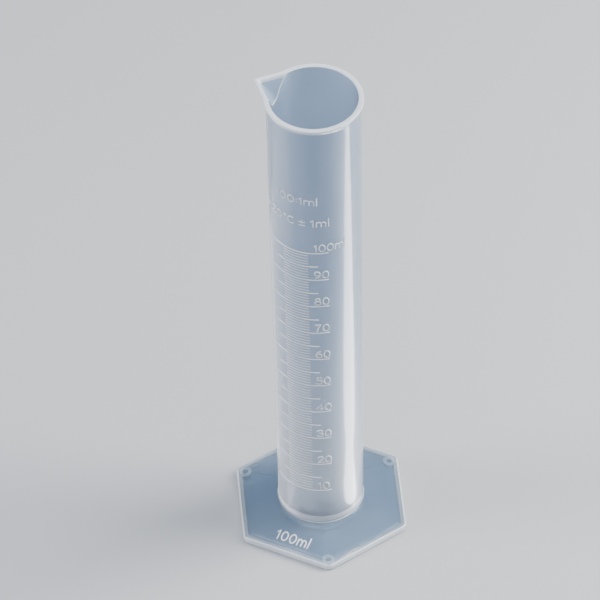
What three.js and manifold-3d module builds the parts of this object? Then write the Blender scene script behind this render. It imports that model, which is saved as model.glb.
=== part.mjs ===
// A 100 ml measuring cylinder in natural polypropylene: a tapered measuring tube with a pouring spout,
// standing in a six-sided foot. Millimetres, +Z up. The origin lies under the middle of the foot, on the
// surface it stands on. The spout points along -X, and the graduated side of the tube faces -Y.
import * as THREE from 'three';
import { ConvexGeometry } from 'three/addons/geometries/ConvexGeometry.js';
import { mergeVertices } from 'three/addons/utils/BufferGeometryUtils.js';
import Module from 'manifold-3d';

// ---- driving dimensions -------------------------------------------------------------------------

const HEIGHT = 210;
const FIT_GAP = 0.3;                  // clearance between the tube and the foot
const ROUND_SIDES = 72;               // facets of the round surfaces
const STUD_SIDES = 24;

const tube = {
  seatRadius: 16.0,                   // outside, where the tube meets the foot
  rimRadius: 16.9,                    // outside, just under the rim: the mould's draft opens upwards
  wall: 1.25,
  seatZ: 6.4,                         // shoulder that stands on the foot
  floorTop: 9.4,
  floorThickness: 2.4,
  floorFillet: 1.2,
  spigotRadius: 13.5,
  spigotWall: 1.5,
  spigotBottom: 1.8,
};

const rim = {
  radius: 17.55,                      // the rim stands proud of the tube all round
  faceHeight: 1.0,
  chamfer: 0.4,
  underside: 1.1,                     // slope from the rim's face back to the wall
};

const spout = {
  reach: 22.9,                        // from the axis to the outside of the lip
  lipRound: 1.6,                      // plan radius of the lip
  halfAngle: Math.PI / 4,             // each side, from the spout's centre line
  wall: 1.6,
  troughRound: 0.4,                   // plan radius of the trough at the lip
  troughDepth: 8.8,                   // below the rim, where the trough opens from the bore
  keelDepth: 11.2,                    // below the rim, where the outside runs into the tube
  valleyRound: 4,                     // plan radius of trough and keel at their lower ends
  lipHeight: 1.0,
  rootX: 12.5,                        // where its sides end, inside the tube
  keelInset: 0.3,                     // how far the keel's lower end lies inside the wall
};

const foot = {
  acrossFlats: 61.3,
  cornerRound: 3.5,
  skirtBottom: 0.4,                   // the studs hold the skirt this far off the surface
  edgeTop: 2.8,
  edgeWidth: 2.1,                     // flat border round the sloping top
  edgeChamfer: 0.5,
  plate: 1.6,                         // thickness of the sloping top, measured upright
  rise: 0.28,                         // slope of the six faces towards the tube
  seatDepth: 0.4,                     // below the shoulder of the tube, gap included
  collarWall: 1.6,
  collarBottom: 1.0,
  peakAcross: 12,                     // small top of the sloping solid, cut away by the socket
  peakRound: 0.3,
  landingLevel: 6.2,                  // the ridges are cut level here, so the tube meets them in a circle
  landingRadius: 21,
};

const stud = {
  radius: 2.3,
  holeRadius: 1.0,
  holeDepth: 1.2,
  underEdge: 0.6,                     // its top ends this far below the border's top
  fromAxis: 31.35,
  corners: [1, 3, 5],                 // every other corner, counted from +X
};

// ---- solids ---------------------------------------------------------------------------------------

const wasm = await Module();
wasm.setup();

/** Turns a closed three.js geometry into a solid that can be joined and cut. */
function solidOf(geometry) {
  const bare = geometry.clone();
  bare.deleteAttribute('normal');
  bare.deleteAttribute('uv');
  const merged = mergeVertices(bare, 1e-5);
  return new wasm.Manifold(new wasm.Mesh({
    numProp: 3,
    vertProperties: new Float32Array(merged.attributes.position.array),
    triVerts: new Uint32Array(merged.index.array),
  }));
}

/** Turns a solid back into a named mesh with its own finish. */
function meshOf(name, solid, finish) {
  const { vertProperties, triVerts } = solid.getMesh();
  const geometry = new THREE.BufferGeometry();
  geometry.setAttribute('position', new THREE.BufferAttribute(vertProperties, 3));
  geometry.setIndex(new THREE.BufferAttribute(triVerts, 1));
  geometry.computeVertexNormals();
  const mesh = new THREE.Mesh(geometry, new THREE.MeshStandardMaterial(finish));
  mesh.name = name;
  return mesh;
}

/** Solid of revolution about Z. The outline is a list of [radius, z] that starts and ends on the axis. */
function turned(outline, sides = ROUND_SIDES) {
  const points = outline.map(([radius, z]) => new THREE.Vector2(radius, z));
  return solidOf(new THREE.LatheGeometry(points, sides).rotateX(Math.PI / 2));
}

/** Upright round bar between two heights. */
function bar(radius, bottom, top, sides = ROUND_SIDES) {
  return turned([[0, bottom], [radius, bottom], [radius, top], [0, top]], sides);
}

/** Smallest convex solid round a list of points. */
function wrapped(points) {
  return solidOf(new ConvexGeometry(points));
}

/** Points of a level arc: centre x, radius, half-width of the arc about -X, height. */
function arcPoints(centreX, radius, halfArc, z, steps = 8) {
  return Array.from({ length: steps + 1 }, (_, i) => {
    const angle = Math.PI + halfArc * (2 * i / steps - 1);
    return new THREE.Vector3(centreX + radius * Math.cos(angle), radius * Math.sin(angle), z);
  });
}

/** Rounded hexagon with corners on +X and every 60 degrees, given across its flats. */
function hexagonPoints(acrossFlats, round, z, steps = 5) {
  const arcCentre = (acrossFlats / 2 - round) / Math.cos(Math.PI / 6);
  const points = [];
  for (let corner = 0; corner < 6; corner += 1) {
    const towards = corner * Math.PI / 3;
    for (let i = 0; i <= steps; i += 1) {
      const angle = towards + (i / steps - 0.5) * Math.PI / 3;
      points.push(new THREE.Vector3(
        arcCentre * Math.cos(towards) + round * Math.cos(angle),
        arcCentre * Math.sin(towards) + round * Math.sin(angle),
        z,
      ));
    }
  }
  return points;
}

// ---- measuring tube ---------------------------------------------------------------------------------

/** Outside radius of the tapered wall at a height. */
function outerRadius(z) {
  const share = (z - tube.seatZ) / (HEIGHT - tube.seatZ);
  return tube.seatRadius + (tube.rimRadius - tube.seatRadius) * share;
}

/** Outside of the tube as one turned solid, spigot and rim included. */
function tubeBody() {
  const faceBottom = HEIGHT - rim.faceHeight;
  const wallTop = faceBottom - rim.underside;
  return turned([
    [0, tube.spigotBottom],
    [tube.spigotRadius, tube.spigotBottom],
    [tube.spigotRadius, tube.seatZ],
    [tube.seatRadius, tube.seatZ],
    [outerRadius(wallTop), wallTop],
    [rim.radius, faceBottom],
    [rim.radius, HEIGHT - rim.chamfer],
    [rim.radius - rim.chamfer, HEIGHT],
    [0, HEIGHT],
  ]);
}

/** The bore, with a small fillet round the floor and a little more height than the rim. */
function bore() {
  const bottomRadius = outerRadius(tube.floorTop) - tube.wall;
  const topRadius = outerRadius(HEIGHT) - tube.wall;
  const fillet = tube.floorFillet;
  return turned([
    [0, tube.floorTop],
    [bottomRadius - fillet, tube.floorTop],
    [bottomRadius - fillet * 0.3, tube.floorTop + fillet * 0.3],
    [bottomRadius, tube.floorTop + fillet],
    [topRadius, HEIGHT],
    [topRadius, HEIGHT + 1],
    [0, HEIGHT + 1],
  ]);
}

/** A spout shape: lip arc and straight sides at the given levels, drawn down to a round lower end. */
function spoutShape({ lipCentre, lipRound, endX, levels, lowRadius, lowX, lowZ }) {
  const { halfAngle } = spout;
  const sharpTip = lipCentre + lipRound / Math.sin(halfAngle);
  const endY = (sharpTip - endX) * Math.tan(halfAngle);
  const points = arcPoints(-(lowX - lowRadius), lowRadius, Math.PI / 2, lowZ, 10);
  for (const z of levels) {
    points.push(...arcPoints(-lipCentre, lipRound, Math.PI / 2 - halfAngle, z));
    points.push(new THREE.Vector3(-endX, endY, z), new THREE.Vector3(-endX, -endY, z));
  }
  return wrapped(points);
}

/** Outside of the spout, from the lip down to where it runs into the tube. */
function spoutBody() {
  const keelZ = HEIGHT - spout.keelDepth;
  return spoutShape({
    lipCentre: spout.reach - spout.lipRound,
    lipRound: spout.lipRound,
    endX: spout.rootX,
    levels: [HEIGHT, HEIGHT - spout.lipHeight],
    lowRadius: spout.valleyRound,
    lowX: outerRadius(keelZ) - spout.keelInset,
    lowZ: keelZ,
  });
}

/** The trough that the liquid runs through. */
function trough() {
  const sharpTip = spout.reach - spout.lipRound + spout.lipRound / Math.sin(spout.halfAngle)
    - spout.wall / Math.sin(spout.halfAngle);
  const lowZ = HEIGHT - spout.troughDepth;
  return spoutShape({
    lipCentre: sharpTip - spout.troughRound / Math.sin(spout.halfAngle),
    lipRound: spout.troughRound,
    endX: spout.rootX,
    levels: [HEIGHT, HEIGHT + 1],
    lowRadius: spout.valleyRound,
    lowX: outerRadius(lowZ) - tube.wall,
    lowZ,
  });
}

function measuringTube() {
  const hollowUnderFloor = bar(
    tube.spigotRadius - tube.spigotWall,
    tube.spigotBottom - 1,
    tube.floorTop - tube.floorThickness,
  );
  return tubeBody().add(spoutBody()).subtract(bore()).subtract(trough()).subtract(hollowUnderFloor);
}

// ---- foot -------------------------------------------------------------------------------------------

const insideFlats = foot.acrossFlats - 2 * foot.edgeWidth;

/** Six-sided solid with sloping faces that start at a height on the inside of the border. */
function slopingSolid(startZ, bottomZ) {
  const topRise = foot.rise * (insideFlats - foot.peakAcross) / 2;
  return wrapped([
    ...hexagonPoints(insideFlats, foot.cornerRound - foot.edgeWidth, bottomZ),
    ...hexagonPoints(insideFlats, foot.cornerRound - foot.edgeWidth, startZ),
    ...hexagonPoints(foot.peakAcross, foot.peakRound, startZ + topRise),
  ]);
}

/** The border with its skirt: an upright rounded hexagon with a chamfered top edge. */
function borderSolid() {
  const { acrossFlats, cornerRound, edgeChamfer, skirtBottom, edgeTop } = foot;
  return wrapped([
    ...hexagonPoints(acrossFlats, cornerRound, skirtBottom),
    ...hexagonPoints(acrossFlats, cornerRound, edgeTop - edgeChamfer),
    ...hexagonPoints(acrossFlats - 2 * edgeChamfer, cornerRound - edgeChamfer, edgeTop),
  ]);
}

function hexagonalFoot() {
  const seatLevel = tube.seatZ - foot.seatDepth;
  const socketRadius = tube.spigotRadius + FIT_GAP;
  const underside = slopingSolid(foot.edgeTop - foot.plate, foot.skirtBottom - 1);
  const collar = bar(socketRadius + foot.collarWall, foot.collarBottom, seatLevel);
  let solid = borderSolid().add(slopingSolid(foot.edgeTop, foot.skirtBottom)).subtract(underside).add(collar);
  for (const corner of stud.corners) {
    const angle = corner * Math.PI / 3;
    const place = [stud.fromAxis * Math.cos(angle), stud.fromAxis * Math.sin(angle), 0];
    solid = solid
      .add(bar(stud.radius, 0, foot.edgeTop - stud.underEdge, STUD_SIDES).translate(place))
      .subtract(bar(stud.holeRadius, -1, stud.holeDepth, STUD_SIDES).translate(place));
  }
  return solid
    .subtract(bar(socketRadius, -1, HEIGHT))
    .subtract(bar(tube.seatRadius + FIT_GAP, seatLevel, HEIGHT))
    .subtract(bar(foot.landingRadius, foot.landingLevel, HEIGHT));
}

// ---- assembly ---------------------------------------------------------------------------------------

const naturalPlastic = { color: 0xc9d6e6, roughness: 0.28, metalness: 0 };

const group = new THREE.Group();
group.add(meshOf('measuring_tube', measuringTube(), naturalPlastic));
group.add(meshOf('hexagonal_foot', hexagonalFoot(), naturalPlastic));

export default group;
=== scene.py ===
"""A 100 ml measuring cylinder in natural polypropylene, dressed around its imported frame.

The measuring tube and the six-sided foot are turned from their sections and then shaped: the tube's
rim is drawn out into a pouring spout, and the foot's round section is pushed out to six flats. The
scale, its numerals and the lettering are half-round strokes laid on the mouldings. Sizes of the part
are in millimetres and angles in degrees where nothing else is said; the studio is in metres.
"""

from __future__ import annotations

import logging
import math
from collections.abc import Callable, Iterable, Sequence
from dataclasses import dataclass, field
from enum import Enum
from typing import Any

import bmesh
import bpy
from mathutils import Matrix, Vector


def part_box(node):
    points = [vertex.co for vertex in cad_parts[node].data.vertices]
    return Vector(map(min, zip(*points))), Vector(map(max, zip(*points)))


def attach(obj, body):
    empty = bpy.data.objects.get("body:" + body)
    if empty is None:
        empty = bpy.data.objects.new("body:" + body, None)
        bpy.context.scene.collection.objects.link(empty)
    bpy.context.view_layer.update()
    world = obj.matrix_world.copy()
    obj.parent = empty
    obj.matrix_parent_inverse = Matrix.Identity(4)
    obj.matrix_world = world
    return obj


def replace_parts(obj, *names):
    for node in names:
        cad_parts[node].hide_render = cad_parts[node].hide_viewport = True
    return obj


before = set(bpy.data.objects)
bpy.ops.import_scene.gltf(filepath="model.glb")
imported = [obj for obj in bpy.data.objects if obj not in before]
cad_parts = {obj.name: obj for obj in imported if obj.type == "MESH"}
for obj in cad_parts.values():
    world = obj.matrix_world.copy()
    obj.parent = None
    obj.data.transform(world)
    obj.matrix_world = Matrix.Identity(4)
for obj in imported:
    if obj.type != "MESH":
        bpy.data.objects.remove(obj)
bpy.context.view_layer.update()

LOG = logging.getLogger("graduated_cylinder")
MM = 0.001
BODY = "root"

# Lengths in millimetres and angles in radians that differ by less than this count as the same.
CLOSE = 0.01
CLOSE_ANGLE = 0.0001
# Vertices nearer to each other than this many metres become one.
WELD = 0.0000001

Point = tuple[float, float]
Stroke = list[Point]
Tint = tuple[float, float, float]


# ---- shader graphs ------------------------------------------------------------------------------


class Signal:
    """An output socket that takes part in arithmetic."""

    def __init__(self, graph: "Graph", socket: bpy.types.NodeSocket) -> None:
        """Wraps one output socket of a graph."""
        self.graph = graph
        self.socket = socket

    def __add__(self, other: "Signal | float") -> "Signal":
        """Sum of two signals."""
        return self.graph.math("ADD", self, other)

    def __radd__(self, other: float) -> "Signal":
        """Sum with a number on the left."""
        return self.graph.math("ADD", other, self)

    def __mul__(self, other: "Signal | float") -> "Signal":
        """Product of two signals."""
        return self.graph.math("MULTIPLY", self, other)

    def __rmul__(self, other: float) -> "Signal":
        """Product with a number on the left."""
        return self.graph.math("MULTIPLY", other, self)


class Graph:
    """The node tree of one material."""

    def __init__(self, name: str) -> None:
        """Starts an empty node tree for a new material.

        Args:
            name: The material's name.
        """
        self.material = bpy.data.materials.new(name)
        self.material.use_nodes = True
        self.material.node_tree.nodes.clear()

    def node(
        self,
        kind: str,
        settings: dict[str, Any] | None = None,
        inputs: dict[str | int, Any] | None = None,
    ) -> bpy.types.Node:
        """Adds a node.

        Args:
            kind: The node's type name, without its ShaderNode prefix.
            settings: Properties set on the node, or "stops" for a colour ramp.
            inputs: Values or signals for its sockets, by name or by index.

        Returns:
            The new node.
        """
        made = self.material.node_tree.nodes.new("ShaderNode" + kind)
        for key, value in (settings or {}).items():
            if key == "stops":
                self._set_stops(made.color_ramp, value)
            else:
                setattr(made, key, value)
        for key, value in (inputs or {}).items():
            self.feed(made.inputs[key], value)
        return made

    @staticmethod
    def _set_stops(ramp: bpy.types.ColorRamp, stops: Sequence[tuple[float, Tint]]) -> None:
        """Gives a colour ramp its stops.

        Args:
            ramp: The ramp of a node.
            stops: Pairs of position and colour.
        """
        while len(ramp.elements) < len(stops):
            ramp.elements.new(1.0)
        for element, (position, colour) in zip(ramp.elements, stops):
            element.position = position
            element.color = (*colour, 1.0)

    def feed(self, socket: bpy.types.NodeSocket, value: Any) -> None:
        """Links a signal to a socket, or sets the socket's own value.

        Args:
            socket: An input socket of this graph.
            value: A signal, a number or a tuple.
        """
        if isinstance(value, Signal):
            self.material.node_tree.links.new(value.socket, socket)
        elif isinstance(value, tuple) and len(value) == 3 and socket.type == "RGBA":
            socket.default_value = (*value, 1.0)
        else:
            socket.default_value = value

    def out(self, node: bpy.types.Node, socket: str | int = 0) -> Signal:
        """The signal of a node's output socket."""
        return Signal(self, node.outputs[socket])

    def math(self, operation: str, a: "Signal | float", b: "Signal | float") -> Signal:
        """The signal of a Math node with two inputs."""
        return self.out(self.node("Math", {"operation": operation}, {0: a, 1: b}))

    def place(self, stretch: tuple[float, float, float] = (1.0, 1.0, 1.0)) -> Signal:
        """Object coordinates for a pattern.

        Args:
            stretch: Factor along each axis; a pattern is drawn out where it is small.

        Returns:
            The stretched coordinates.
        """
        coordinates = self.node("TexCoord")
        mapping = self.node(
            "Mapping",
            {"vector_type": "POINT"},
            {"Vector": self.out(coordinates, "Object"), "Scale": stretch},
        )
        return self.out(mapping)

    def noise(self, where: Signal, scale: float, detail: float) -> Signal:
        """A noise pattern.

        Args:
            where: Its coordinates.
            scale: Its fineness, in patches to the metre.
            detail: How many finer layers it has.

        Returns:
            A signal from 0 to 1.
        """
        made = self.node(
            "TexNoise",
            inputs={"Vector": where, "Scale": scale, "Detail": detail, "Roughness": 0.5},
        )
        return self.out(made)

    def falling(self, where: Signal, low: float, high: float) -> Signal:
        """A smooth fall from 1 to 0 with the height.

        Args:
            where: Coordinates, whose Z is read.
            low: The height in metres at and below which it is 1.
            high: The height in metres at and above which it is 0.

        Returns:
            A signal from 0 to 1.
        """
        height = self.out(self.node("SeparateXYZ", inputs={"Vector": where}), "Z")
        made = self.node(
            "MapRange",
            {"interpolation_type": "SMOOTHSTEP"},
            {"Value": height, "From Min": low, "From Max": high, "To Min": 1.0, "To Max": 0.0},
        )
        return self.out(made)

    def blend(self, factor: Signal, low: "Signal | Tint", high: "Signal | Tint") -> Signal:
        """A colour between two colours."""
        made = self.node("Mix", {"data_type": "RGBA"}, {0: factor, 6: low, 7: high})
        return self.out(made, 2)

    def ramp(self, factor: Signal, stops: Sequence[tuple[float, Tint]]) -> Signal:
        """A colour ramp read at a factor."""
        return self.out(self.node("ValToRGB", {"stops": stops}, {"Fac": factor}))

    def bump(self, height: Signal, distance: float, below: Signal | None = None) -> Signal:
        """A normal that follows a height.

        Args:
            height: A signal from 0 to 1.
            distance: How high 1 stands, in metres.
            below: The normal that it is laid on, if any.

        Returns:
            The normal.
        """
        inputs: dict[str | int, Any] = {"Height": height, "Distance": distance, "Strength": 1.0}
        if below is not None:
            inputs["Normal"] = below
        return self.out(self.node("Bump", inputs=inputs))

    def finish(self, shader: bpy.types.Node) -> bpy.types.Material:
        """Connects a shader to the surface output and returns the material."""
        self.node("OutputMaterial", inputs={"Surface": self.out(shader)})
        return self.material


# ---- finishes -----------------------------------------------------------------------------------


@dataclass(frozen=True)
class NaturalPlastic:
    """Unpigmented polypropylene: clear where it is thin, milky where it is thick.

    The haze is made of upright flow streaks and soft clouds. Towards the bottom of a piece a lighter
    colour may be painted by height: painted light that stands in for how the milky wall gathers
    light there. The ripple and the two heights of that painted light are in metres.
    """

    name: str
    clear_tint: Tint
    milky_tint: Tint
    clarity: float
    roughness: float
    gloss: float = 0.09
    refraction: float = 1.49
    flow_stretch: float = 0.12
    streak_scale: float = 70.0
    cloud_scale: float = 30.0
    peel_scale: float = 260.0
    streak_share: float = 0.6
    haze_from: float = 0.36
    haze_to: float = 0.64
    unevenness: float = 0.06
    ripple: float = 0.00003
    peel: float = 0.2
    low_tint: Tint | None = None
    low_from: float = 0.012
    low_to: float = 0.125

    def build(self) -> bpy.types.Material:
        """Makes the material.

        Returns:
            The new material.
        """
        graph = Graph(self.name)
        upright = graph.place((1.0, 1.0, self.flow_stretch))
        even = graph.place()
        streaks = graph.noise(upright, self.streak_scale, 2.0)
        clouds = graph.noise(even, self.cloud_scale, 2.0)
        mixed = streaks * self.streak_share + clouds * (1 - self.streak_share)
        black, white = (0.0, 0.0, 0.0), (1.0, 1.0, 1.0)
        haze = graph.ramp(mixed, [(self.haze_from, black), (self.haze_to, white)])
        tint = graph.blend(haze, self.clear_tint, self.milky_tint)
        # Painted light: a lighter colour is painted by height towards the bottom, for the light the
        # milky wall gathers there.
        if self.low_tint is not None:
            painted_low_light_share = graph.falling(even, self.low_from, self.low_to)
            tint = graph.blend(painted_low_light_share, tint, self.low_tint)
        flow = graph.bump(streaks, self.ripple)
        peel = graph.bump(graph.noise(even, self.peel_scale, 0.0), self.ripple * self.peel, flow)
        shader = graph.node(
            "BsdfPrincipled",
            inputs={
                "Base Color": tint,
                "Roughness": self.roughness + self.unevenness * clouds,
                "IOR": self.refraction,
                "Transmission Weight": self.clarity,
                "Coat Weight": 1.0,
                "Coat Roughness": self.gloss,
                "Normal": peel,
            },
        )
        return graph.finish(shader)


@dataclass(frozen=True)
class PaleFloor:
    """A matt, pale studio floor."""

    name: str = "studio_floor"
    colour: Tint = (0.5, 0.515, 0.54)
    darkening: float = 0.96
    roughness: float = 0.42
    unevenness: float = 0.05
    mottle_scale: float = 6.0

    def build(self) -> bpy.types.Material:
        """Makes the material.

        Returns:
            The new material.
        """
        graph = Graph(self.name)
        mottle = graph.noise(graph.place(), self.mottle_scale, 4.0)
        red, green, blue = self.colour
        darker = (red * self.darkening, green * self.darkening, blue * self.darkening)
        shader = graph.node(
            "BsdfPrincipled",
            inputs={
                "Base Color": graph.blend(mottle, darker, self.colour),
                "Roughness": self.roughness + self.unevenness * mottle,
            },
        )
        return graph.finish(shader)


WALL = NaturalPlastic(
    "natural_wall",
    (0.42, 0.56, 0.74),
    (0.52, 0.65, 0.81),
    clarity=0.72,
    roughness=0.33,
    # The lighter colour towards the bottom of the wall is painted light, not a change in the
    # plastic.
    low_tint=(0.72, 0.79, 0.88),
)
PLATE = NaturalPlastic("natural_plate", (0.44, 0.62, 0.82), (0.52, 0.68, 0.86), 0.86, 0.14)
BORDER = NaturalPlastic("natural_border", (0.66, 0.77, 0.90), (0.74, 0.83, 0.93), 0.72, 0.14)
THICK = NaturalPlastic("natural_thick", (0.78, 0.84, 0.92), (0.88, 0.92, 0.97), 0.25, 0.33)
RELIEF = NaturalPlastic("natural_relief", (0.88, 0.92, 0.97), (0.95, 0.97, 0.99), 0.15, 0.33)


# ---- mesh helpers -------------------------------------------------------------------------------


def polar(vector: Vector) -> Point:
    """Radius and angle in radians of a point about the Z axis."""
    return math.hypot(vector.x, vector.y), math.atan2(vector.y, vector.x)


def arc(centre: Point, radius: float, start: float, end: float, steps: int) -> list[Point]:
    """Points of an arc in the plane of a section.

    Args:
        centre: The arc's centre.
        radius: Its radius.
        start: The first point's angle from the first axis.
        end: The last point's angle.
        steps: How many steps lie between the two.

    Returns:
        One point more than the steps.
    """
    angles = [math.radians(start + (end - start) * i / steps) for i in range(steps + 1)]
    return [(centre[0] + radius * math.cos(a), centre[1] + radius * math.sin(a)) for a in angles]


def evenly(start: Point, end: Point, steps: int) -> list[Point]:
    """Points between two points, both left out."""
    run, climb = end[0] - start[0], end[1] - start[1]
    return [(start[0] + run * i / steps, start[1] + climb * i / steps) for i in range(1, steps)]


def smooth_larger(a: float, b: float, softness: float) -> float:
    """The larger of two lengths, with a fillet of about the given size where they cross."""
    share = max(softness - abs(a - b), 0.0) / softness
    return max(a, b) + share * share * softness / 4


class Mesh:
    """A bmesh that becomes one named piece."""

    def __init__(self) -> None:
        """Starts an empty bmesh."""
        self.bm = bmesh.new()

    def section(self, outline: Sequence[Point], closed: bool) -> list[Any]:
        """Draws a section on the half-plane at -X.

        Args:
            outline: Its points, as radius and height.
            closed: Whether the last point joins the first.

        Returns:
            The outline's vertices, and then its edges.
        """
        verts = [self.bm.verts.new((-r * MM, 0.0, z * MM)) for r, z in outline]
        pairs = list(zip(verts, verts[1:])) + ([(verts[-1], verts[0])] if closed else [])
        return verts + [self.bm.edges.new(pair) for pair in pairs]

    def turn(self, geometry: list[Any], steps: int, centre: Point = (0.0, 0.0)) -> None:
        """Turns a section once round an upright axis and closes its seam and poles.

        Args:
            geometry: The section's vertices and edges.
            steps: How many steps the full turn has.
            centre: Where the axis stands.
        """
        bmesh.ops.spin(
            self.bm,
            geom=geometry,
            cent=(centre[0] * MM, centre[1] * MM, 0.0),
            axis=(0.0, 0.0, 1.0),
            angle=math.tau,
            steps=steps,
            use_merge=True,
        )
        bmesh.ops.remove_doubles(self.bm, verts=self.bm.verts, dist=WELD)

    def shape(self, move: Callable[[Vector], Vector]) -> None:
        """Moves every vertex to where a rule says."""
        for vert in self.bm.verts:
            vert.co = move(vert.co / MM) * MM

    def finish_with(self, pick: Callable[[Vector], int] | None = None) -> None:
        """Shades every face smooth and gives it the index of its finish.

        Args:
            pick: Says the index from a face's middle; without it, all keep the first finish.
        """
        for face in self.bm.faces:
            face.smooth = True
            if pick is not None:
                face.material_index = pick(face.calc_center_median() / MM)

    def piece(
        self,
        name: str,
        finishes: Iterable[bpy.types.Material],
        crease: float = 32.0,
    ) -> bpy.types.Object:
        """Writes the bmesh into an object that rides on the part.

        Args:
            name: The piece's name.
            finishes: Its materials, in the order of its face indices.
            crease: Edges sharper than this many degrees stay sharp.

        Returns:
            The new object.
        """
        bmesh.ops.recalc_face_normals(self.bm, faces=self.bm.faces)
        data = bpy.data.meshes.new(name)
        self.bm.to_mesh(data)
        self.bm.free()
        for material in finishes:
            data.materials.append(material)
        data.set_sharp_from_angle(angle=math.radians(crease))
        made = bpy.data.objects.new(name, data)
        bpy.context.scene.collection.objects.link(made)
        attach(made, BODY)
        LOG.info("%s: %d faces", name, len(data.polygons))
        return made


# ---- measuring tube -----------------------------------------------------------------------------


@dataclass
class Wedge:
    """A level outline with two straight sides and a round nose that points along -X."""

    nose: float
    round: float
    half_angle: float

    def reach(self, angle: float, inset: float = 0.0) -> float:
        """Distance from the axis to the outline, at an angle from -X.

        Args:
            angle: Angle from -X, either way, in radians.
            inset: How far the outline is drawn in on itself.

        Returns:
            The distance.
        """
        radius = self.round - inset
        centre = self.nose - self.round
        side = centre * math.sin(self.half_angle) + radius
        aside = abs(angle)
        meets = math.atan2(
            radius * math.cos(self.half_angle), centre + radius * math.sin(self.half_angle)
        )
        if radius > 0 and aside < meets:
            off = centre * math.sin(aside)
            return centre * math.cos(aside) + math.sqrt(max(radius * radius - off * off, 0.0))
        return side / math.sin(min(aside + self.half_angle, math.pi / 2))


@dataclass
class Spout:
    """The pouring spout: a lip, a trough in it and a keel under it. Its half angle is in radians."""

    reach: float = 22.9
    lip_round: float = 1.6
    half_angle: float = math.radians(45)
    wall: float = 1.6
    trough_round: float = 0.4
    trough_depth: float = 8.8
    keel_depth: float = 11.2
    valley_round: float = 4.0
    lip_height: float = 1.0
    keel_sunk: float = 0.3

    def outside(self, depth: float, tube_radius: float) -> Wedge | None:
        """The outer outline at a depth below the rim.

        Args:
            depth: The depth.
            tube_radius: The tube's outside radius where the keel ends.

        Returns:
            The outline, or None below the keel.
        """
        share = (depth - self.lip_height) / (self.keel_depth - self.lip_height)
        if share > 1:
            return None
        low_nose = tube_radius - self.keel_sunk
        return self._between(self.reach, self.lip_round, low_nose, max(share, 0.0))

    def inside(self, depth: float, bore_radius: float) -> Wedge | None:
        """The trough's outline at a depth below the rim.

        Args:
            depth: The depth.
            bore_radius: The bore's radius where the trough ends.

        Returns:
            The outline, or None below the trough.
        """
        share = depth / self.trough_depth
        if share > 1:
            return None
        sine = math.sin(self.half_angle)
        sharp = self.reach - self.lip_round + (self.lip_round - self.wall) / sine
        nose = sharp - self.trough_round / sine + self.trough_round
        return self._between(nose, self.trough_round, bore_radius, max(share, 0.0))

    def _between(self, nose: float, nose_round: float, low_nose: float, share: float) -> Wedge:
        """The outline at a share of the way from the lip down to the lower end."""
        return Wedge(
            nose + (low_nose - nose) * share,
            nose_round + (self.valley_round - nose_round) * share,
            self.half_angle,
        )


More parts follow.
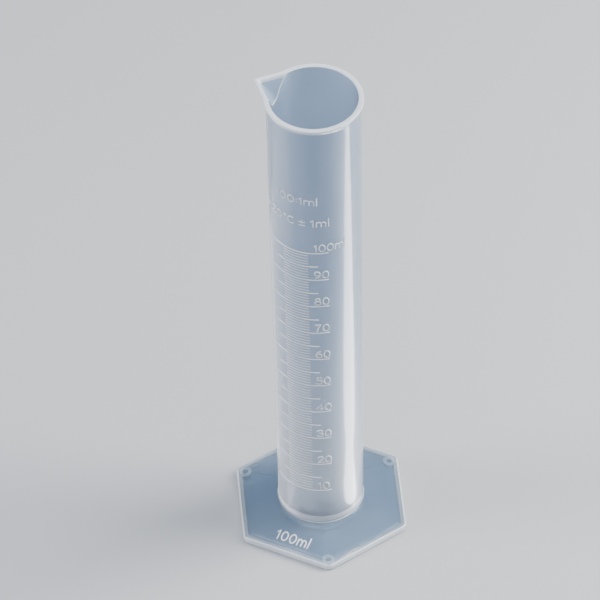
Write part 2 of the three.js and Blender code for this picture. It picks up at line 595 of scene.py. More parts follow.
@dataclass
class MeasuringTube:
    """The tapered tube with its floor, spigot, rim and spout.

    The rows are steps along the section: few along the plain wall, many where the spout is drawn
    out. The crowding draws the turned steps together towards the spout. The skins are how far the
    thick finish stays off the bore at the rim, and how far it climbs over the floor.
    """

    height: float
    seat_radius: float = 16.0
    rim_wall_radius: float = 16.9
    wall: float = 1.25
    seat: float = 6.4
    seat_edge: float = 0.25
    floor_top: float = 9.4
    floor_under: float = 7.0
    floor_fillet: float = 1.6
    recess_fillet: float = 0.5
    spigot_radius: float = 13.5
    spigot_wall: float = 1.5
    spigot_bottom: float = 1.8
    spigot_edge: float = 0.3
    rim_radius: float = 17.55
    rim_face: float = 1.0
    rim_edge: float = 0.35
    rim_lower_edge: float = 0.3
    rim_under: float = 1.0
    rim_flare: Point = (0.12, 0.4)
    outer_fillet: float = 0.9
    inner_fillet: float = 0.06
    rim_skin: float = 0.1
    floor_skin: float = 0.2
    shaped_margin: float = 2.0
    plain_rows: int = 30
    outer_rows: int = 40
    inner_rows: int = 46
    steps: int = 320
    crowding: float = 0.7
    spout: Spout = field(default_factory=Spout)

    @property
    def draft(self) -> float:
        """How much the wall's radius grows with each millimetre of height."""
        return (self.rim_wall_radius - self.seat_radius) / (self.height - self.seat)

    def outer(self, z: float) -> float:
        """Outside radius of the tapered wall at a height."""
        return self.seat_radius + self.draft * (z - self.seat)

    def bore(self, z: float) -> float:
        """Inside radius of the wall at a height."""
        return self.outer(z) - self.wall

    def height_of(self, millilitres: float) -> float:
        """Height of the liquid's surface for a volume in the tapered bore.

        Args:
            millilitres: The volume.

        Returns:
            The height over the surface that the part stands on.
        """
        start = self.bore(self.floor_top)
        cubic_millimetres = millilitres * 1000
        radius = (start**3 + 3 * self.draft * cubic_millimetres / math.pi) ** (1 / 3)
        return self.floor_top + (radius - start) / self.draft

    def outline(self) -> list[Point]:
        """Half section from the middle of the floor's underside to the middle of its top."""
        shaped = self.height - self.spout.keel_depth - self.shaped_margin
        return self._under_section() + self._outer_section(shaped) + self._inner_section(shaped)

    def _under_section(self) -> list[Point]:
        """The underside, from the middle of the floor round the spigot to the seat.

        Returns:
            Its points, as radius and height.
        """
        fillet, edge, seat_edge = self.recess_fillet, self.spigot_edge, self.seat_edge
        bore, turned = self.spigot_radius - self.spigot_wall, self.spigot_bottom + edge
        points = [(0.0, self.floor_under), (bore - fillet, self.floor_under)]
        points += arc((bore - fillet, self.floor_under - fillet), fillet, 90, 0, 3)[1:]
        points += arc((bore + edge, turned), edge, 180, 270, 2)
        points += arc((self.spigot_radius - edge, turned), edge, 270, 360, 2)
        points += [(self.spigot_radius, self.seat)]
        corner = (self.seat_radius - seat_edge, self.seat + seat_edge)
        return points + arc(corner, seat_edge, 270, 360, 4)

    def _outer_section(self, shaped: float) -> list[Point]:
        """The outside, from the level of the floor to the top of the rim.

        Args:
            shaped: The height above which the spout is drawn out.

        Returns:
            Its points, as radius and height.
        """
        top, edge, lower_edge = self.height, self.rim_edge, self.rim_lower_edge
        face_bottom = top - self.rim_face
        wall_top = face_bottom - self.rim_under
        start, middle, end = ((self.outer(z), z) for z in (self.floor_top, shaped, wall_top))
        points = [start, *evenly(start, middle, self.plain_rows)]
        points += [*evenly(middle, end, self.outer_rows), end]
        points += [(end[0] + self.rim_flare[0], wall_top + self.rim_flare[1])]
        corner = (self.rim_radius - lower_edge, face_bottom + lower_edge)
        points += arc(corner, lower_edge, 300, 360, 4)
        points += evenly(points[-1], (self.rim_radius, top - edge), 3)
        return points + arc((self.rim_radius - edge, top - edge), edge, 0, 90, 5)

    def _inner_section(self, shaped: float) -> list[Point]:
        """The rim's top and the inside, down to the middle of the floor.

        Args:
            shaped: The height above which the spout is drawn out.

        Returns:
            Its points, as radius and height.
        """
        top, edge, fillet = self.height, self.rim_edge, self.floor_fillet
        low = self.floor_top + fillet
        mouth, middle = self.bore(top) + edge, (self.bore(shaped), shaped)
        points = evenly((self.rim_radius - edge, top), (mouth, top), 4)
        points += arc((mouth, top - edge), edge, 90, 180, 5)
        points += evenly(points[-1], middle, self.inner_rows)
        points += evenly(middle, (self.bore(low), low), self.plain_rows)
        points += arc((self.bore(low) - fillet, low), fillet, 0, -90, 6)
        return points + [*evenly(points[-1], (0.0, self.floor_top), 4), (0.0, self.floor_top)]

    def draw_out(self, point: Vector) -> Vector:
        """Moves a point of the turned tube to the drawn-out shape of rim and spout.

        Args:
            point: A point of the turned tube.

        Returns:
            Its new place.
        """
        radius, angle = polar(point)
        if radius < CLOSE:
            return point
        aside = math.remainder(angle - math.pi, math.tau)
        aside -= self.crowding * math.sin(aside)
        depth = self.height - point.z
        if depth < self.spout.keel_depth + CLOSE:
            on_outside = radius > self.outer(point.z) - self.wall / 2
            drawn = self._drawn_outside if on_outside else self._drawn_inside
            radius = drawn(radius, aside, depth)
        return Vector((-radius * math.cos(aside), -radius * math.sin(aside), point.z))

    def _drawn_outside(self, radius: float, aside: float, depth: float) -> float:
        """New radius of a point on the outside of the rim or wall.

        Args:
            radius: Its radius on the turned tube.
            aside: Its angle from the spout, in radians.
            depth: Its depth below the rim's top.

        Returns:
            The new radius.
        """
        wedge = self.spout.outside(depth, self.outer(self.height - self.spout.keel_depth))
        if wedge is None:
            return radius
        inset = max(self.rim_radius - radius, 0.0) if depth < self.rim_face / 2 else 0.0
        return smooth_larger(radius, wedge.reach(aside, inset), self.outer_fillet)

    def _drawn_inside(self, radius: float, aside: float, depth: float) -> float:
        """New radius of a point on the inside of the wall.

        Args:
            radius: Its radius on the turned tube.
            aside: Its angle from the spout, in radians.
            depth: Its depth below the rim's top.

        Returns:
            The new radius.
        """
        wedge = self.spout.inside(depth, self.bore(self.height - self.spout.trough_depth))
        if wedge is None:
            return radius
        rounding = max(radius - self.bore(self.height - depth), 0.0)
        return smooth_larger(radius, wedge.reach(aside, -rounding), self.inner_fillet)

    def thick(self, middle: Vector) -> int:
        """Tells where the plastic is thick.

        Args:
            middle: The middle of a face.

        Returns:
            1 on the rim, floor and spigot, and 0 on the wall.
        """
        radius, _ = polar(middle)
        rim_bottom = self.height - self.rim_face - self.rim_lower_edge
        in_rim = middle.z > rim_bottom and radius > self.bore(middle.z) + self.rim_skin
        in_base = middle.z < self.floor_top + self.floor_skin
        return int(in_rim or in_base)

    def build(self, finishes: Sequence[bpy.types.Material]) -> bpy.types.Object:
        """Makes the tube.

        Args:
            finishes: The finish of the wall and the finish where it is thick.

        Returns:
            The new piece.
        """
        mesh = Mesh()
        mesh.turn(mesh.section(self.outline(), closed=False), self.steps)
        mesh.shape(self.draw_out)
        mesh.finish_with(self.thick)
        made = mesh.piece("tube_with_spout", finishes)
        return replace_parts(made, "measuring_tube")


# ---- six-sided foot -----------------------------------------------------------------------------

# The turn from corner to corner, and from a corner to the middle of a flat.
SIXTH = math.radians(60)
TWELFTH = math.radians(30)


@dataclass
class HexagonalFoot:
    """The foot: six sloping faces cut level round the tube, a thick border and a collar.

    The crowding draws the turned steps together towards the corners. The pairs are sizes across and
    up of the small soft corners at the recess, where the faces meet the border, and under them.
    """

    across_flats: float
    corner_round: float = 3.5
    least_round: float = 0.3
    skirt_bottom: float = 0.4
    skirt_edge: float = 0.25
    skirt_row: float = 1.0
    edge_top: float = 2.8
    edge_width: float = 2.1
    edge_round: float = 0.6
    plate: float = 1.6
    rise: float = 0.28
    landing: float = 6.2
    socket_radius: float = 13.8
    recess_radius: float = 16.3
    recess_level: float = 6.0
    recess_edge: Point = (0.12, 0.1)
    near_tube: float = 4.0
    near_rows: int = 8
    face_end: float = 0.4
    face_rows: int = 6
    meeting: Point = (0.15, 0.02)
    border_row: float = 0.6
    border_skin: float = 0.05
    under_meeting: Point = (0.2, 0.05)
    under_drop: float = 0.15
    under_rows: int = 8
    ridge_end: float = 0.2
    collar_radius: float = 15.4
    collar_bottom: float = 1.0
    collar_edge: float = 0.2
    steps: int = 336
    crowding: float = 0.62
    crease: float = 40.0

    @property
    def inside(self) -> float:
        """Distance from the axis to the inside of the border, across a flat."""
        return self.across_flats / 2 - self.edge_width

    def across(self, point: Vector) -> float:
        """How far out a point lies, measured square to the nearest flat.

        Args:
            point: Any point of the foot.

        Returns:
            The distance from the axis.
        """
        radius, angle = polar(point)
        aside = abs(math.remainder(angle, SIXTH))
        return radius * math.cos(TWELFTH - aside)

    def top(self, across: float) -> float:
        """Height of the sloping faces and the landing at a distance from the axis."""
        return min(self.edge_top + self.rise * max(self.inside - across, 0.0), self.landing)

    def outline(self) -> list[Point]:
        """Closed section across the middle of a flat."""
        return self._upper_section() + self._lower_section()

    def _upper_section(self) -> list[Point]:
        """The recess under the tube, the sloping face and the border down to its side.

        Returns:
            Its points, as distance from the axis and height.
        """
        recess, inner, edge = self.recess_radius, self.inside, self.edge_round
        rim, fall = self.recess_edge
        level = self.top(recess)
        half, lift = self.meeting
        near = (recess + self.near_tube, self.top(recess + self.near_tube))
        last = (inner - self.face_end, self.top(inner - self.face_end))
        points = [(self.socket_radius, self.recess_level), (recess, self.recess_level)]
        points += [(recess, level - fall), (recess + rim, level)]
        points += [*evenly(points[-1], near, self.near_rows), near]
        points += [*evenly(near, last, self.face_rows), last]
        points += [(inner - half, self.edge_top + lift), (inner + half, self.edge_top)]
        points += [(inner + self.border_row, self.edge_top)]
        corner = (self.across_flats / 2 - edge, self.edge_top - edge)
        return points + arc(corner, edge, 90, 0, 5)

    def _lower_section(self) -> list[Point]:
        """The skirt, the plate's underside and the collar.

        Returns:
            Its points, as distance from the axis and height.
        """
        out, inner, edge = self.across_flats / 2, self.inside, self.skirt_edge
        collar, bottom, chamfer = self.collar_radius, self.collar_bottom, self.collar_edge
        under = self.edge_top - self.plate
        back, climb = self.under_meeting
        collar_top = (collar, self.top(collar) - self.plate)
        points = [(out, self.skirt_bottom + self.skirt_row)]
        points += arc((out - edge, self.skirt_bottom + edge), edge, 0, -90, 3)
        points += arc((inner + edge, self.skirt_bottom + edge), edge, 270, 180, 3)
        points += [(inner, under - self.under_drop), (inner - back, under + climb)]
        points += [*evenly(points[-1], collar_top, self.under_rows), collar_top]
        points += [(collar, bottom + chamfer), (collar - chamfer, bottom)]
        socket = self.socket_radius
        return points + [(socket + chamfer, bottom), (socket, bottom + chamfer)]

    def rounded_reach(self, apothem: float, corner_round: float, angle: float) -> float:
        """Distance from the axis to a rounded hexagon's outline.

        Args:
            apothem: Distance from the axis to the middle of a side.
            corner_round: Radius of its corners.
            angle: Direction, in radians; a corner lies at 0.

        Returns:
            The distance.
        """
        aside = abs(math.remainder(angle, SIXTH))
        corner = (apothem - corner_round) / math.cos(TWELFTH)
        off = corner * math.sin(aside)
        if off < corner_round * math.sin(TWELFTH - aside):
            return corner * math.cos(aside) + math.sqrt(corner_round**2 - off * off)
        return apothem / math.cos(TWELFTH - aside)

    def push_out(self, point: Vector) -> Vector:
        """Moves a point of the turned foot out to its six-sided place.

        Args:
            point: A point of the turned foot.

        Returns:
            Its new place.
        """
        radius, angle = polar(point)
        angle -= self.crowding * math.sin(6 * angle) / 6
        share = (radius - self.recess_radius) / (self.inside - self.recess_radius)
        share = min(max(share, 0.0), 1.0)
        inset = self.across_flats / 2 - radius
        far = self.rounded_reach(radius, max(self.corner_round - inset, self.least_round), angle)
        reach = radius + (far - radius) * share
        moved = Vector((reach * math.cos(angle), reach * math.sin(angle), point.z))
        collar_level = self.collar_bottom + self.collar_edge + CLOSE
        on_socket = radius < self.socket_radius + CLOSE
        on_collar = radius < self.recess_radius - CLOSE and point.z < collar_level
        level = abs(point.z - self.recess_level) < CLOSE
        on_recess = radius < self.recess_radius + CLOSE and level
        if not (on_socket or on_collar or on_recess):
            moved.z += self.top(self.across(moved)) - self.top(radius)
        return moved

    def crisp_ridges(self, mesh: Mesh) -> None:
        """Keeps the ridges that run out to the corners sharp.

        Args:
            mesh: The foot's mesh.
        """
        for edge in mesh.bm.edges:
            middle = (edge.verts[0].co + edge.verts[1].co) / 2 / MM
            along = edge.verts[1].co - edge.verts[0].co
            _, angle = polar(middle)
            on_corner = abs(math.remainder(angle, SIXTH)) < CLOSE_ANGLE
            outward = along.normalized().dot(Vector((middle.x, middle.y, 0.0)).normalized())
            on_face = self.across(middle) < self.inside - self.ridge_end
            if on_corner and on_face and abs(outward) > 0.9:
                edge.smooth = False

    def zone(self, middle: Vector) -> int:
        """Tells which finish a face has.

        Args:
            middle: The middle of the face.

        Returns:
            2 on the skirt and collar, 1 on the border's top, and 0 on the sloping plate.
        """
        radius, _ = polar(middle)
        across = self.across(middle)
        if radius < self.collar_radius or across > self.across_flats / 2 - self.edge_round:
            return 2
        return int(across > self.inside + self.border_skin)

    def build(self, finishes: Sequence[bpy.types.Material]) -> bpy.types.Object:
        """Makes the plate with its border and collar.

        Args:
            finishes: The finishes of the plate, the border and the thick parts.

        Returns:
            The new piece.
        """
        mesh = Mesh()
        mesh.turn(mesh.section(self.outline(), closed=True), self.steps)
        mesh.shape(self.push_out)
        mesh.finish_with(self.zone)
        self.crisp_ridges(mesh)
        made = mesh.piece("six_sided_foot", finishes, self.crease)
        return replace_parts(made, "hexagonal_foot")


@dataclass
class Studs:
    """The ring-shaped studs that the foot stands on, under every other corner."""

    radius: float = 2.3
    edge: float = 0.3
    hole_radius: float = 1.0
    hole_edge: float = 0.15
    top: float = 2.2
    from_axis: float = 31.35
    corners: tuple[int, ...] = (1, 3, 5)
    steps: int = 40

    def outline(self) -> list[Point]:
        """Closed section of one side of a stud, round its hole.

        Returns:
            Its points, as distance from the stud's own axis and height.
        """
        points = [(self.hole_radius, self.top)]
        points += arc(
            (self.hole_radius + self.hole_edge, self.hole_edge), self.hole_edge, 180, 270, 2
        )
        points += arc((self.radius - self.edge, self.edge), self.edge, 270, 360, 3)
        return points + [(self.radius, self.top)]

    def build(self, finish: bpy.types.Material) -> bpy.types.Object:
        """Makes the three studs as one piece.

        Args:
            finish: Their finish.

        Returns:
            The new piece.
        """
        mesh = Mesh()
        outline = self.outline()
        for corner in self.corners:
            angle = corner * SIXTH
            centre = (self.from_axis * math.cos(angle), self.from_axis * math.sin(angle))
            geometry = mesh.section(outline, closed=True)
            bmesh.ops.translate(
                mesh.bm,
                verts=geometry[: len(outline)],
                vec=(centre[0] * MM, centre[1] * MM, 0.0),
            )
            mesh.turn(geometry, self.steps, centre)
        mesh.finish_with()
        return mesh.piece("standing_studs", [finish])


# ---- raised strokes -----------------------------------------------------------------------------

# Edges of a stroke that are sharper than this many degrees stay sharp.
RELIEF_CREASE = 60.0


def curve(points: Sequence[Point], steps: int = 4) -> Stroke:
    """A smooth line through points.

    Args:
        points: The points, in order.
        steps: How many steps lie between two of them.

    Returns:
        The line.
    """
    padded = [points[0], *points, points[-1]]
    line: Stroke = []
    for i in range(len(points) - 1):
        a, b, c, d = (Vector(point) for point in padded[i : i + 4])
        for step in range(steps):
            t = step / steps
            square = (2 * a - 5 * b + 4 * c - d) * t**2
            cube = (3 * b - a - 3 * c + d) * t**3
            place = (2 * b + (c - a) * t + square + cube) / 2
            line.append((place.x, place.y))
    return [*line, points[-1]]


def oval(
    centre: Point, half: Point, start: float = 90, sweep: float = 360, steps: int = 18
) -> Stroke:
    """An oval arc.

    Args:
        centre: Its centre.
        half: Half its width and half its height.
        start: The first point's angle from +X.
        sweep: How far it runs round.
        steps: How many steps it has.

    Returns:
        The arc.
    """
    turns = [math.radians(start + sweep * i / steps) for i in range(steps + 1)]
    return [
        (centre[0] + half[0] * math.cos(turn), centre[1] + half[1] * math.sin(turn))
        for turn in turns
    ]


# Each glyph stands on a line and its capitals are 1 high: its width, then its strokes.
GLYPHS: dict[str, tuple[float, list[Stroke]]] = {
    "0": (0.66, [oval((0.33, 0.5), (0.33, 0.5))]),
    "1": (0.28, [[(0.0, 0.76), (0.22, 1.0), (0.22, 0.5), (0.22, 0.0)]]),
    "2": (
        0.6,
        [
            curve(
                [
                    (0.02, 0.74),
                    (0.12, 0.95),
                    (0.34, 1.0),
                    (0.55, 0.88),
                    (0.54, 0.64),
                    (0.28, 0.32),
                    (0.0, 0.0),
                ]
            ),
            [(0.0, 0.0), (0.6, 0.0)],
        ],
    ),
    "3": (
        0.6,
        [
            curve([(0.02, 0.86), (0.22, 1.0), (0.5, 0.93), (0.5, 0.64), (0.24, 0.54)]),
            curve([(0.24, 0.54), (0.56, 0.44), (0.57, 0.14), (0.28, 0.0), (0.0, 0.12)]),
        ],
    ),
    "4": (0.66, [[(0.5, 0.0), (0.5, 1.0), (0.0, 0.3), (0.66, 0.3)]]),
    "5": (
        0.6,
        [
            [(0.54, 1.0), (0.1, 1.0), (0.05, 0.56)],
            curve([(0.05, 0.56), (0.3, 0.64), (0.57, 0.5), (0.57, 0.18), (0.28, 0.0), (0.0, 0.1)]),
        ],
    ),
    "6": (
        0.62,
        [
            curve([(0.5, 0.97), (0.2, 0.84), (0.03, 0.5), (0.01, 0.3)]),
            oval((0.32, 0.3), (0.31, 0.3), 180),
        ],
    ),
    "7": (0.58, [[(0.0, 1.0), (0.58, 1.0)], curve([(0.58, 1.0), (0.3, 0.5), (0.18, 0.0)])]),
    "8": (0.6, [oval((0.3, 0.77), (0.24, 0.23), 270), oval((0.3, 0.27), (0.3, 0.27), 90)]),
    "9": (
        0.62,
        [
            oval((0.3, 0.7), (0.3, 0.3), 0),
            curve([(0.6, 0.72), (0.58, 0.48), (0.42, 0.18), (0.12, 0.03)]),
        ],
    ),
    "m": (
        0.9,
        [
            [(0.0, 0.0), (0.0, 0.7)],
            curve([(0.0, 0.48), (0.12, 0.68), (0.34, 0.68), (0.45, 0.46), (0.45, 0.0)]),
            curve([(0.45, 0.46), (0.57, 0.68), (0.79, 0.68), (0.9, 0.46), (0.9, 0.0)]),
        ],
    ),
    "n": (
        0.42,
        [
            [(0.0, 0.0), (0.0, 0.7)],
            curve([(0.0, 0.48), (0.1, 0.68), (0.32, 0.68), (0.42, 0.46), (0.42, 0.0)]),
        ],
    ),
    "l": (0.06, [[(0.03, 1.12), (0.03, 0.5), (0.03, 0.0)]]),
    "I": (0.06, [[(0.03, 1.0), (0.03, 0.5), (0.03, 0.0)]]),
    "C": (0.62, [oval((0.36, 0.5), (0.36, 0.5), 50, 260)]),
    "°": (0.28, [oval((0.14, 0.86), (0.14, 0.14), 90, 360, 12)]),
    ":": (0.06, [[(0.03, 0.2), (0.03, 0.28)], [(0.03, 0.62), (0.03, 0.7)]]),
    "±": (
        0.52,
        [
            [(0.0, 0.6), (0.52, 0.6)],
            [(0.26, 0.86), (0.26, 0.34)],
            [(0.0, 0.08), (0.52, 0.08)],
        ],
    ),
    " ": (0.12, []),
}


class Anchor(Enum):
    """Which point of a line of lettering is placed."""

    LEFT = "left"
    MIDDLE = "middle"


@dataclass
class Lettering:
    """Single-stroke lettering of one size; its gap is a share of the height."""

    height: float
    gap: float = 0.24
    stretch: float = 1.0

    def width(self, text: str) -> float:
        """Length of a line of text."""
        glyphs = [GLYPHS[letter][0] for letter in text]
        return self.height * self.stretch * (sum(glyphs) + self.gap * (len(text) - 1))

    def strokes(self, text: str, at: Point, anchor: Anchor) -> list[Stroke]:
        """The strokes of a line of text.

        Args:
            text: What it says.
            at: The left end or middle of its foot line.
            anchor: Which of the two.

        Returns:
            Strokes in the plane of the text.
        """
        pen = at[0] - (self.width(text) / 2 if anchor is Anchor.MIDDLE else 0.0)
        wide = self.height * self.stretch
        made: list[Stroke] = []
        for letter in text:
            width, strokes = GLYPHS[letter]
            made += [
                [(pen + x * wide, at[1] + y * self.height) for x, y in stroke]
                for stroke in strokes
            ]
            pen += (width + self.gap) * wide
        return made


Onto = Callable[[float, float, float], Vector]
Station = tuple[Point, Point, float]


@dataclass
class Relief:
    """Half-round strokes raised on a surface, with ends that close in two turns."""

    width: float
    proud: float
    sunk: float = 0.06
    sides: int = 8
    end_turns: tuple[float, ...] = (40.0, 75.0)

    def lay(self, mesh: Mesh, stroke: Stroke, onto: Onto) -> None:
        """Adds one stroke with round ends.

        Args:
            mesh: The mesh it is added to.
            stroke: Its middle line, across and up.
            onto: Where a point across, up and proud of the surface lies.
        """
        stations = self._stations(stroke)
        ring = bmesh.ops.create_circle(mesh.bm, segments=self.sides, radius=1.0)["verts"]
        flat = [vert.co.copy() for vert in ring]
        edges = list(dict.fromkeys(edge for vert in ring for edge in vert.link_edges))
        first = list(edges)
        self._set_ring(ring, flat, stations[0], onto)
        for station in stations[1:]:
            grown = bmesh.ops.extrude_edge_only(mesh.bm, edges=edges)["geom"]
            edges = [item for item in grown if isinstance(item, bmesh.types.BMEdge)]
            verts = [item for item in grown if isinstance(item, bmesh.types.BMVert)]
            self._set_ring(verts, flat, station, onto)
            edges = [edge for edge in edges if all(vert in verts for vert in edge.verts)]
        bmesh.ops.edgeloop_fill(mesh.bm, edges=first)
        bmesh.ops.edgeloop_fill(mesh.bm, edges=edges)

    def _stations(self, stroke: Stroke) -> list[Station]:
        """Where the rings of a stroke stand.

        Args:
            stroke: Its middle line.

        Returns:
            Middle, heading and size of each ring, with smaller rings at open ends.
        """
        stations: list[Station] = []
        for i, here in enumerate(stroke):
            before, after = stroke[max(i - 1, 0)], stroke[min(i + 1, len(stroke) - 1)]
            heading = Vector((after[0] - before[0], after[1] - before[1])).normalized()
            stations.append((here, (heading.x, heading.y), 1.0))
        if math.dist(stroke[0], stroke[-1]) < CLOSE:
            return stations
        start = [self._end_ring(stations[0], -1, turn) for turn in reversed(self.end_turns)]
        end = [self._end_ring(stations[-1], 1, turn) for turn in self.end_turns]
        return [*start, *stations, *end]

    def _end_ring(self, station: Station, sign: int, turn: float) -> Station:
        """A ring on a stroke's round end.

        Args:
            station: The stroke's last full ring.
            sign: 1 at the stroke's end, and -1 at its start.
            turn: How far round the end the ring lies.

        Returns:
            The smaller ring.
        """
        (across, up), (run, climb), _ = station
        out = sign * self.width / 2 * math.sin(math.radians(turn))
        return (across + run * out, up + climb * out), (run, climb), math.cos(math.radians(turn))

    def _set_ring(
        self,
        verts: Sequence[bmesh.types.BMVert],
        flat: Sequence[Vector],
        station: Station,
        onto: Onto,
    ) -> None:
        """Moves a ring of vertices to its place round the stroke.

        Args:
            verts: The ring.
            flat: The same ring as a unit circle.
            station: Where it stands.
            onto: Where a point across, up and proud of the surface lies.
        """
        (across, up), (run, climb), size = station
        for vert, unit in zip(verts, flat):
            side = unit.x * self.width / 2 * size
            rise = max(unit.y * self.proud * size, -self.sunk)
            vert.co = onto(across - climb * side, up + run * side, rise) * MM


@dataclass
class Scale:
    """The raised scale on the side of the tube that faces -Y.

    Its halves and starts are angles from the scale's middle, and the unit rows give their text, the
    place of their middle across, and their height over the last line.
    """

    tube: MeasuringTube
    fine: Relief = field(default_factory=lambda: Relief(0.34, 0.2))
    bold: Relief = field(default_factory=lambda: Relief(0.42, 0.26))
    numerals: Lettering = field(default_factory=lambda: Lettering(3.3))
    units: Lettering = field(default_factory=lambda: Lettering(3.2, stretch=1.16))
    unit_rows: tuple[tuple[str, float, float], ...] = (
        ("100:1ml", 0.35, 24.0),
        ("In20°C ± 1ml", -1.0, 13.4),
    )
    centre: float = -1.75
    first: int = 10
    last: int = 100
    half_long: float = 41.5
    half_middle: float = 28.0
    half_short: float = 16.5
    step: float = 2.5
    numeral_start: float = 24.5
    numeral_lift: float = 0.95

    def onto(self, across: float, up: float, rise: float) -> Vector:
        """Where a point of the scale lies on the tube.

        Args:
            across: Distance round the wall from the scale's middle.
            up: Height.
            rise: How far it stands proud of the wall.

        Returns:
            The point.
        """
        wall = self.tube.outer(up)
        angle = across / wall - math.pi / 2 + math.radians(self.centre)
        return Vector(((wall + rise) * math.cos(angle), (wall + rise) * math.sin(angle), up))

    def line(self, volume: int) -> Stroke:
        """The middle line of one graduation.

        Args:
            volume: Its volume in millilitres.

        Returns:
            The line.
        """
        up = self.tube.height_of(volume)
        half = self.half_short
        if volume % 10 == 0:
            half = self.half_long
        elif volume % 5 == 0:
            half = self.half_middle
        reach = math.radians(half) * self.tube.outer(up)
        steps = max(round(half / self.step), 4)
        return [(-reach, up), *evenly((-reach, up), (reach, up), steps), (reach, up)]

    def build_lines(self, finish: bpy.types.Material) -> bpy.types.Object:
        """Makes every graduation.

        Args:
            finish: Their finish.

        Returns:
            The new piece.
        """
        mesh = Mesh()
        for volume in range(self.first, self.last + 1):
            relief = self.bold if volume % 5 == 0 else self.fine
            relief.lay(mesh, self.line(volume), self.onto)
        mesh.finish_with()
        return mesh.piece("graduation_lines", [finish], RELIEF_CREASE)

    def build_numerals(self, finish: bpy.types.Material) -> bpy.types.Object:
        """Makes the numerals over the long graduations.

        Args:
            finish: Their finish.

        Returns:
            The new piece.
        """
        mesh = Mesh()
        for volume in range(self.first, self.last + 1, 10):
            up = self.tube.height_of(volume)
            start = (math.radians(self.numeral_start) * self.tube.outer(up), up + self.numeral_lift)
            text = f"{volume}ml" if volume == self.last else str(volume)
            for stroke in self.numerals.strokes(text, start, Anchor.LEFT):
                self.bold.lay(mesh, stroke, self.onto)
        mesh.finish_with()
        return mesh.piece("scale_numerals", [finish], RELIEF_CREASE)

    def build_lettering(self, finish: bpy.types.Material) -> bpy.types.Object:
        """Makes the two rows of units over the scale.

        Args:
            finish: Their finish.

        Returns:
            The new piece.
        """
        mesh = Mesh()
        last_line = self.tube.height_of(self.last)
        for text, across, over in self.unit_rows:
            for stroke in self.units.strokes(text, (across, last_line + over), Anchor.MIDDLE):
                self.bold.lay(mesh, stroke, self.onto)
        mesh.finish_with()
        return mesh.piece("unit_lettering", [finish], RELIEF_CREASE)


@dataclass
class TroughEdge:
    """A raised milky bead on the rounded edge where the spout's trough leaves the bore: a painted
    highlight for the light that the crease catches.
    """

    tube: MeasuringTube
    relief: Relief = field(default_factory=lambda: Relief(0.6, 0.24, 0.1))
    start_depth: float = 0.6
    search_step: float = 0.02
    halvings: int = 30
    steps: int = 26

    def opening(self, depth: float) -> float:
        """Angle from the spout's middle to the edge of the trough, found by halving.

        Args:
            depth: Depth below the rim.

        Returns:
            The angle in radians, and 0 below the trough.
        """
        tube = self.tube
        bore = tube.bore(tube.height - depth)
        wedge = tube.spout.inside(depth, tube.bore(tube.height - tube.spout.trough_depth))
        near, far = 0.0, tube.spout.half_angle
        if wedge is None or wedge.reach(near) <= bore:
            return 0.0
        for _ in range(self.halvings):
            middle = (near + far) / 2
            if wedge.reach(middle) > bore:
                near = middle
            else:
                far = middle
        return near

    def line(self) -> Stroke:
        """The edge, down one side and up the other.

        Returns:
            Its middle line, as distance round the bore's mouth and height.
        """
        top, deepest = self.start_depth, self.tube.spout.trough_depth
        while self.opening(deepest) == 0.0:
            deepest -= self.search_step
        shares = [math.sin(math.pi / 2 * i / self.steps) for i in range(self.steps + 1)]
        depths = [top + (deepest - top) * share for share in shares]
        mouth = self.tube.bore(self.tube.height)
        down = [(self.opening(depth) * mouth, self.tube.height - depth) for depth in depths]
        return down + [(-across, up) for across, up in reversed(down)]

    def onto(self, across: float, up: float, rise: float) -> Vector:
        """Where a point of the edge lies in the bore.

        Args:
            across: Distance round the bore's mouth from the spout's middle.
            up: Height.
            rise: How far it stands in from the wall.

        Returns:
            The point.
        """
        angle = math.pi - across / self.tube.bore(self.tube.height)
        radius = self.tube.bore(up) - rise
        return Vector((radius * math.cos(angle), radius * math.sin(angle), up))

    def build(self, finish: bpy.types.Material) -> bpy.types.Object:
        """Makes the edge.

        Args:
            finish: Its finish.

        Returns:
            The new piece.
        """
        mesh = Mesh()
        self.relief.lay(mesh, self.line(), self.onto)
        mesh.finish_with()
        return mesh.piece("trough_edge_highlight", [finish], RELIEF_CREASE)


@dataclass
class SizeMark:
    """The capacity in relief on the face of the foot that looks towards -Y."""

    foot: HexagonalFoot
    relief: Relief = field(default_factory=lambda: Relief(0.55, 0.3))
    lettering: Lettering = field(default_factory=lambda: Lettering(3.5, 0.3))
    text: str = "100ml"
    distance: float = 26.4

    def onto(self, across: float, up: float, rise: float) -> Vector:
        """Where a point of the mark lies on the sloping face."""
        out = self.distance - up
        return Vector((across, -out, self.foot.top(out) + rise))

    def build(self, finish: bpy.types.Material) -> bpy.types.Object:
        """Makes the mark.

        Args:
            finish: Its finish.

        Returns:
            The new piece.
        """
        mesh = Mesh()
        for stroke in self.lettering.strokes(self.text, (0.0, 0.0), Anchor.MIDDLE):
            self.relief.lay(mesh, stroke, self.onto)
        mesh.finish_with()
        return mesh.piece("foot_size_mark", [finish], RELIEF_CREASE)


# ---- studio -------------------------------------------------------------------------------------


def direction(azimuth: float, elevation: float) -> Vector:
    """Unit vector from the part towards an azimuth and elevation."""
    around, up = math.radians(azimuth), math.radians(elevation)
    return Vector((math.cos(up) * math.cos(around), math.cos(up) * math.sin(around), math.sin(up)))


def area_light(
    name: str, shape: str, size: Point, power: float, colour: Tint
) -> bpy.types.Object:
    """Adds an area light at the origin.

    Args:
        name: Its name.
        shape: RECTANGLE or ELLIPSE.
        size: Its length and width.
        power: Its power in watts.
        colour: Its colour.

    Returns:
        The light's object.
    """
    data = bpy.data.lights.new(name, "AREA")
    data.shape = shape
    data.size, data.size_y = size
    data.energy = power
    data.color = colour
    light = bpy.data.objects.new(name, data)
    bpy.context.scene.collection.objects.link(light)
    return light


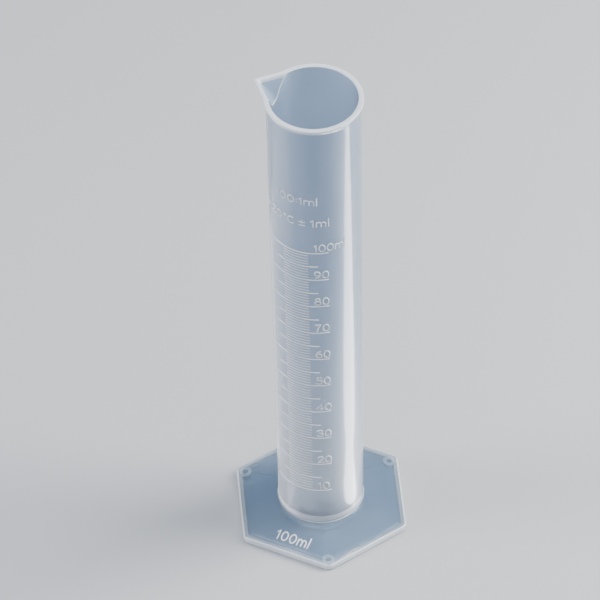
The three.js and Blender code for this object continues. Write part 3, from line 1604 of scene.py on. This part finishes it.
@dataclass(frozen=True)
class Softbox:
    """A rectangular light that looks at the part."""

    name: str
    azimuth: float
    elevation: float
    distance: float
    size: Point
    power: float
    colour: Tint

    def build(self, target: Vector) -> bpy.types.Object:
        """Hangs the light and aims it.

        Args:
            target: The point it looks at.

        Returns:
            The light's object.
        """
        light = area_light(self.name, "RECTANGLE", self.size, self.power, self.colour)
        towards = direction(self.azimuth, self.elevation)
        light.location = target + towards * self.distance
        light.rotation_euler = towards.to_track_quat("Z", "Y").to_euler()
        return light


@dataclass(frozen=True)
class LowCard:
    """A lit card that lies low beside the tube and is seen in it as an upright stripe.

    Its line starts on the tube's wall and runs outwards on a heading; the card lies on the line or
    to its right.
    """

    name: str
    start: float
    heading: float
    size: Point
    power: float
    shape: str = "ELLIPSE"
    gap: float = 0.0
    aside: float = 0.0
    colour: Tint = (1.0, 0.97, 0.98)
    radius: float = 0.0165
    lift: float = 0.007

    def build(self) -> bpy.types.Object:
        """Lays the card with its lit side up.

        Returns:
            The card's object.
        """
        card = area_light(self.name, self.shape, self.size, self.power, self.colour)
        along = direction(self.heading, 0.0) * (self.gap + self.size[0] / 2)
        across = direction(self.heading - 90.0, 0.0) * self.aside
        lift = Vector((0.0, 0.0, self.lift))
        card.location = direction(self.start, 0.0) * self.radius + along + across + lift
        card.rotation_euler = (math.pi, 0.0, math.radians(self.heading))
        card.visible_camera = False
        return card


SOFTBOXES = (
    Softbox("key_light", 35.0, 35.0, 0.9, (0.5, 0.8), 20.0, (1.0, 0.98, 0.96)),
    Softbox("side_light", -150.0, 25.0, 1.0, (0.35, 0.9), 9.0, (0.98, 0.95, 1.0)),
    Softbox("top_light", -60.0, 80.0, 1.2, (1.0, 1.0), 8.0, (0.95, 0.98, 1.0)),
)
LOW_CARDS = (
    LowCard("far_right_card", -21.0, 22.2, (0.2, 0.066), 0.32, gap=0.03),
    LowCard("near_right_card", -21.0, 22.2, (0.045, 0.018), 0.02, gap=0.003),
    LowCard("left_card", -97.0, -129.7, (0.25, 0.16), 0.09, "RECTANGLE", aside=0.08),
)


@dataclass
class Studio:
    """Floor, lights and camera; the camera's aim is moved a little aside and above the middle.

    The lens and the sensor are in millimetres, and the rest is in metres.
    """

    height: float
    azimuth: float = -64.3
    elevation: float = 45.9
    distance: float = 1.894
    roll: float = -1.05
    lens: float = 313.5
    sensor: float = 36.0
    sight: float = 50.0
    aside: float = -0.00635
    above: float = 0.0027
    floor_half: float = 4.0
    room_colour: Tint = (0.62, 0.68, 0.76)
    room_strength: float = 0.6

    @property
    def target(self) -> Vector:
        """Middle of the part."""
        return Vector((0.0, 0.0, self.height / 2))

    def build_floor(self) -> bpy.types.Object:
        """Lays a wide pale floor.

        Returns:
            The floor's object.
        """
        bm = bmesh.new()
        bmesh.ops.create_grid(bm, x_segments=8, y_segments=8, size=self.floor_half)
        data = bpy.data.meshes.new("floor")
        bm.to_mesh(data)
        bm.free()
        data.materials.append(PaleFloor().build())
        floor = bpy.data.objects.new("floor", data)
        bpy.context.scene.collection.objects.link(floor)
        return floor

    def build_lights(self) -> None:
        """Hangs the softboxes, lays the cards and sets the room's own light."""
        for box in SOFTBOXES:
            box.build(self.target)
        for card in LOW_CARDS:
            card.build()
        world = bpy.data.worlds.new("room")
        bpy.context.scene.world = world
        world.use_nodes = True
        background = world.node_tree.nodes["Background"]
        background.inputs["Color"].default_value = (*self.room_colour, 1.0)
        background.inputs["Strength"].default_value = self.room_strength

    def build_camera(self) -> bpy.types.Object:
        """Sets up the camera.

        Returns:
            The camera's object.
        """
        towards = direction(self.azimuth, self.elevation)
        place = self.target + towards * self.distance
        level = Vector((0.0, 0.0, 1.0)).cross(towards).normalized()
        right = Matrix.Rotation(math.radians(self.roll), 3, towards) @ level
        up = towards.cross(right)
        aim = self.target + right * self.aside + up * self.above
        back = (place - aim).normalized()
        right = up.cross(back).normalized()
        up = back.cross(right)
        data = bpy.data.cameras.new("camera")
        data.lens = self.lens
        data.sensor_width = self.sensor
        data.clip_end = self.sight
        camera = bpy.data.objects.new("camera", data)
        bpy.context.scene.collection.objects.link(camera)
        pose = Matrix((right, up, back)).transposed().to_4x4()
        pose.translation = place
        camera.matrix_world = pose
        bpy.context.scene.camera = camera
        return camera


# ---- assembly -----------------------------------------------------------------------------------


def main() -> None:
    """Builds the measuring cylinder and the studio round it."""
    logging.basicConfig(level=logging.INFO, format="%(message)s")
    low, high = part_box("hexagonal_foot")
    _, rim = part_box("measuring_tube")
    finishes = (WALL, PLATE, BORDER, THICK, RELIEF)
    wall, plate, border, thick, relief = (finish.build() for finish in finishes)
    tube = MeasuringTube(height=rim.z / MM)
    tube.build([wall, thick])
    foot = HexagonalFoot(across_flats=(high.y - low.y) / MM)
    foot.build([plate, border, thick])
    Studs().build(relief)
    # The milky bead along the trough's edge is a painted highlight of the crease.
    TroughEdge(tube).build(relief)
    scale = Scale(tube)
    scale.build_lines(relief)
    scale.build_numerals(relief)
    scale.build_lettering(relief)
    SizeMark(foot).build(relief)
    studio = Studio(height=rim.z)
    studio.build_floor()
    studio.build_lights()
    studio.build_camera()


if __name__ == "__main__":
    main()
